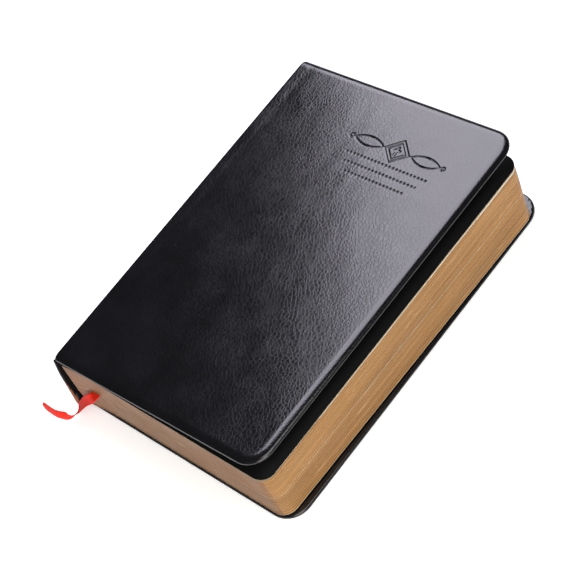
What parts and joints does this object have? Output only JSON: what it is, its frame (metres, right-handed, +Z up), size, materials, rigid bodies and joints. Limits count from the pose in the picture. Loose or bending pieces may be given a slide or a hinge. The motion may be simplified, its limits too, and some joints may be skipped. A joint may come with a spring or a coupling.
{
  "type": "bible",
  "caption": "Thick soft-cover bible with black grained leather, gilt page edges and a red ribbon marker, lying with its front cover a little ajar.",
  "frame": {"origin": "on the surface that the book lies on, under the middle of its covers", "axes": "+Z up; +Y from the tail to the head; +X from the spine to the fore-edge"},
  "size_m": [0.1647, 0.2259, 0.0573],
  "materials": {
    "cover_leather": "black pebble-grained soft leather with a satin sheen",
    "board": "thin flexible greyboard",
    "endpaper": "plain black endpaper",
    "gilt_pages": "cream paper with dull gold gilt edges",
    "mull": "open-weave cotton crash cloth",
    "thread": "waxed linen thread",
    "ribbon": "red satin ribbon"
  },
  "bodies": {
    "back_cover": {"back_cover_leather": "cover_leather", "back_cover_board": "board", "back_pastedown": "endpaper"},
    "rear_block": {"section_01": "gilt_pages", "section_02": "gilt_pages", "section_03": "gilt_pages", "section_04": "gilt_pages", "section_05": "gilt_pages", "section_06": "gilt_pages", "section_07": "gilt_pages", "section_08": "gilt_pages", "section_09": "gilt_pages", "spine_leather_rear": "cover_leather", "spine_liner_rear": "board", "mull_rear": "mull", "sewing_thread_rear": "thread"},
    "middle_block": {"section_10": "gilt_pages", "section_11": "gilt_pages", "section_12": "gilt_pages", "section_13": "gilt_pages", "spine_leather_middle": "cover_leather", "spine_liner_middle": "board", "mull_middle": "mull", "sewing_thread_middle": "thread"},
    "front_block": {"section_14": "gilt_pages", "section_15": "gilt_pages", "section_16": "gilt_pages", "section_17": "gilt_pages", "section_18": "gilt_pages", "spine_leather_front": "cover_leather", "spine_liner_front": "board", "mull_front": "mull", "sewing_thread_front": "thread"},
    "front_cover": {"front_cover_leather": "cover_leather", "front_cover_board": "board", "front_pastedown": "endpaper"},
    "front_flyleaf": {"front_flyleaf": "endpaper"},
    "back_flyleaf": {"back_flyleaf": "endpaper"},
    "ribbon": {"ribbon_marker": "ribbon"}
  },
  "joints": [
    {"name": "back_cover_joint", "type": "hinge", "parent": "back_cover", "child": "rear_block", "pos_m": [-0.074, 0, 0.00265], "axis": [0, 1, 0], "range_deg": [-170, 0]},
    {"name": "ribbon_opening", "type": "hinge", "parent": "rear_block", "child": "middle_block", "pos_m": [-0.074, 0, 0.0211], "axis": [0, -1, 0], "range_deg": [0, 150]},
    {"name": "front_opening", "type": "hinge", "parent": "middle_block", "child": "front_block", "pos_m": [-0.074, 0, 0.029], "axis": [0, 1, 0], "range_deg": [-170, 0]},
    {"name": "front_cover_joint", "type": "hinge", "parent": "front_block", "child": "front_cover", "pos_m": [-0.074, 0, 0.03955], "axis": [0, -1, 0], "range_deg": [-5.9, 150]},
    {"name": "front_flyleaf_joint", "type": "hinge", "parent": "front_block", "child": "front_flyleaf", "pos_m": [-0.069, 0, 0.03865], "axis": [0, -1, 0], "range_deg": [-0.55, 13.6]},
    {"name": "back_flyleaf_joint", "type": "hinge", "parent": "back_cover", "child": "back_flyleaf", "pos_m": [-0.0681, 0, 0.0033], "axis": [0, 1, 0], "range_deg": [-85.5, 0]},
    {"name": "ribbon_swing", "type": "hinge", "parent": "rear_block", "child": "ribbon", "pos_m": [-0.0625, 0.097, 0.0211], "axis": [0, 0, 1], "range_deg": [-4, 3]}
  ],
  "couplings": [
    {"joint": "front_flyleaf_joint", "follows": "front_cover_joint", "ratio": 0.09},
    {"joint": "back_flyleaf_joint", "follows": "back_cover_joint", "ratio": 0.5}
  ]
}
